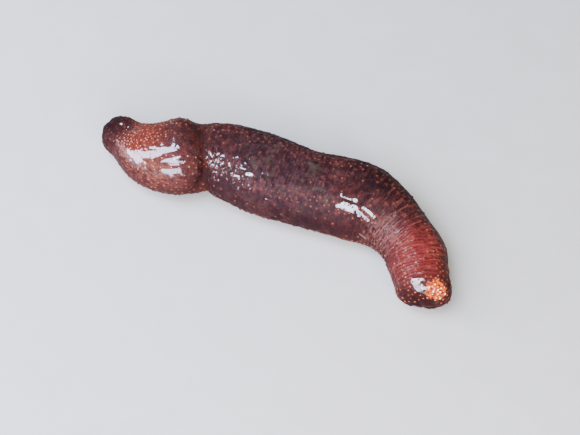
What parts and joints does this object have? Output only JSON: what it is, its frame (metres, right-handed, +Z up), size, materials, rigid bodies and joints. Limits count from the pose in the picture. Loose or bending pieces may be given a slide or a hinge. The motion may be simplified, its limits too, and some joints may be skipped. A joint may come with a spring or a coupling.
{
  "type": "sea cucumber",
  "caption": "Sea cucumber lying on the floor in a loose S, its soft body swollen behind a waist, with bands of small tube feet along it and its tentacles drawn in.",
  "frame": {"origin": "centre of the bounding box seen from above, on the floor the animal lies on", "axes": "+X along the box's length, from the tail's side to the mouth's side; +Z up; the mouth faces -Y"},
  "size_m": [0.1842, 0.1146, 0.0367],
  "materials": {
    "skin": "wet, glossy and leathery, with fine wrinkles across it"
  },
  "bodies": {
    "root": {"tail_end": "skin", "hind_body": "skin", "waist": "skin", "middle_body": "skin", "shoulder_bend": "skin", "fore_body": "skin", "mouth_end": "skin"}
  },
  "joints": []
}
